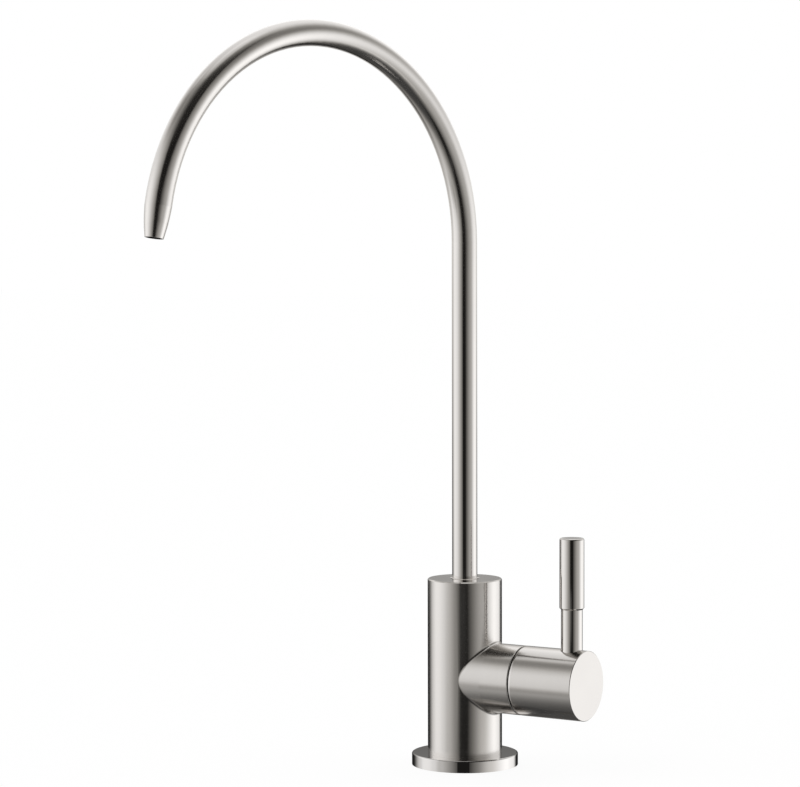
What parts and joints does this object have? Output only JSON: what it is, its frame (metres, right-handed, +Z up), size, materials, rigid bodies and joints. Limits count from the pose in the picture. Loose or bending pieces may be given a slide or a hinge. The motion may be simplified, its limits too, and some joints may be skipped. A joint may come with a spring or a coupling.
{
  "type": "faucet",
  "caption": "Slim deck-mounted drinking-water faucet with a swivelling gooseneck spout and a quarter-turn lever valve on its side branch.",
  "frame": {"origin": "on the column's axis at the deck surface, where the register enters the deck hole", "axes": "+Z up along the column, +X out along the valve branch, the user stands at -Y"},
  "size_m": [0.0911, 0.1688, 0.3385],
  "materials": {
    "brushed_nickel": "fine satin brushing",
    "polished_nickel": "mirror polished",
    "plated_steel": "bright zinc plating",
    "brass": "turned brass",
    "black_rubber": "matt moulded rubber",
    "black_plastic": "matt moulded plastic",
    "dark_nylon": "smooth moulded charcoal nylon",
    "white_ceramic": "lapped ceramic"
  },
  "bodies": {
    "body": {"valve_body": "brushed_nickel", "base_flange": "polished_nickel", "deck_gasket": "black_rubber", "flange_o_ring": "black_rubber", "threaded_shank": "plated_steel", "compression_nut": "brass", "ferrule": "brass", "spout_retaining_ring": "plated_steel", "spout_bush": "dark_nylon", "cartridge_housing": "brass", "cartridge_o_ring": "black_rubber", "seat_seal": "black_rubber", "fixed_ceramic_disc": "white_ceramic", "gland_nut": "brass"},
    "spout": {"spout_tube": "brushed_nickel", "spout_nipple": "brass", "spout_o_ring_lower": "black_rubber", "spout_o_ring_upper": "black_rubber"},
    "handle": {"handle_hub": "brushed_nickel", "lever": "brushed_nickel", "handle_set_screw": "plated_steel", "valve_spindle": "brass", "moving_ceramic_disc": "white_ceramic", "spindle_o_ring": "black_rubber", "spindle_circlip": "plated_steel"},
    "clamp": {"clamp_washer": "black_plastic", "lock_washer": "plated_steel", "deck_nut": "plated_steel"}
  },
  "joints": [
    {"name": "spout_swivel", "type": "hinge", "parent": "body", "child": "spout", "pos_m": [0, 0, 0.06], "axis": [0, 0, 1], "continuous": true},
    {"name": "handle_turn", "type": "hinge", "parent": "body", "child": "handle", "pos_m": [0.026, 0, 0.0337], "axis": [1, 0, 0], "range_deg": [0, 90]},
    {"name": "clamp_travel", "type": "slide", "parent": "body", "child": "clamp", "axis": [0, 0, 1], "range_m": [-0.018, 0.0185]}
  ]
}
